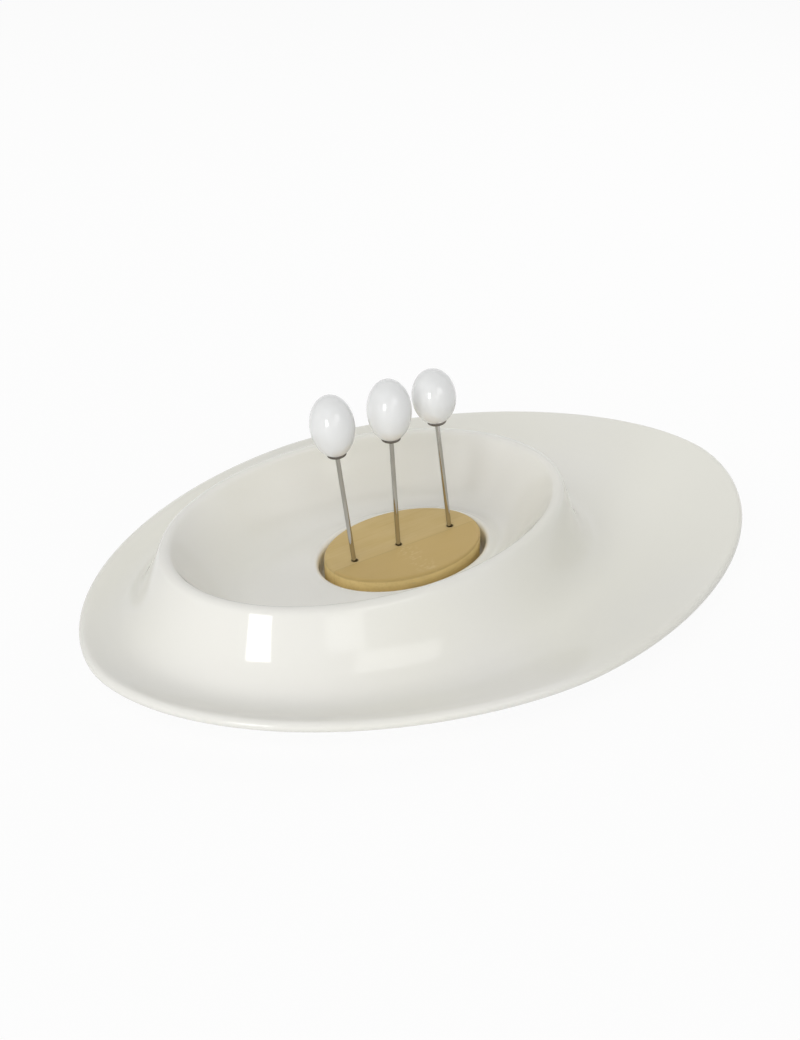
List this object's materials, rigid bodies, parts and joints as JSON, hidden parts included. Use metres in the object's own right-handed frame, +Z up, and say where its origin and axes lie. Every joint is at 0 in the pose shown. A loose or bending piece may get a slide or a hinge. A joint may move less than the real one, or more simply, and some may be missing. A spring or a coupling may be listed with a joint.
{
  "type": "olive dish",
  "caption": "Oval porcelain dish with a raised off-centre bowl for olives, a wide trough for stones, and a lift-out bamboo holder carrying egg-topped steel picks.",
  "frame": {"origin": "centre of the plate's outline, on the table under the foot ring", "axes": "+X along the plate towards the wide wing, +Y across it, +Z up"},
  "size_m": [0.3, 0.212, 0.0969],
  "materials": {
    "dish_glaze": "clear gloss glaze over warm white porcelain",
    "knob_glaze": "clear gloss glaze over cool white porcelain",
    "bamboo": "laminated bamboo strips, sanded and lightly oiled",
    "steel": "drawn stainless wire and pressed stainless cap, satin",
    "cement": "matt setting cement"
  },
  "bodies": {
    "dish": {"porcelain_dish": "dish_glaze"},
    "holder": {"bamboo_holder": "bamboo"},
    "pick_1": {"pick_pin_1": "steel", "pick_ferrule_1": "steel", "pick_knob_1": "knob_glaze", "knob_cement_1": "cement"},
    "pick_2": {"pick_pin_2": "steel", "pick_ferrule_2": "steel", "pick_knob_2": "knob_glaze", "knob_cement_2": "cement"},
    "pick_3": {"pick_pin_3": "steel", "pick_ferrule_3": "steel", "pick_knob_3": "knob_glaze", "knob_cement_3": "cement"}
  },
  "joints": [
    {"name": "holder_lift", "type": "slide", "parent": "dish", "child": "holder", "axis": [0, 0, 1], "range_m": [0, 0.04]},
    {"name": "pick_1_lift", "type": "slide", "parent": "holder", "child": "pick_1", "axis": [-0.1012, 0.0709, 0.9923], "range_m": [0, 0.04]},
    {"name": "pick_2_lift", "type": "slide", "parent": "holder", "child": "pick_2", "axis": [-0.0472, 0.033, 0.9983], "range_m": [0, 0.04]},
    {"name": "pick_3_lift", "type": "slide", "parent": "holder", "child": "pick_3", "axis": [-0.0927, 0.0649, 0.9936], "range_m": [0, 0.04]}
  ]
}
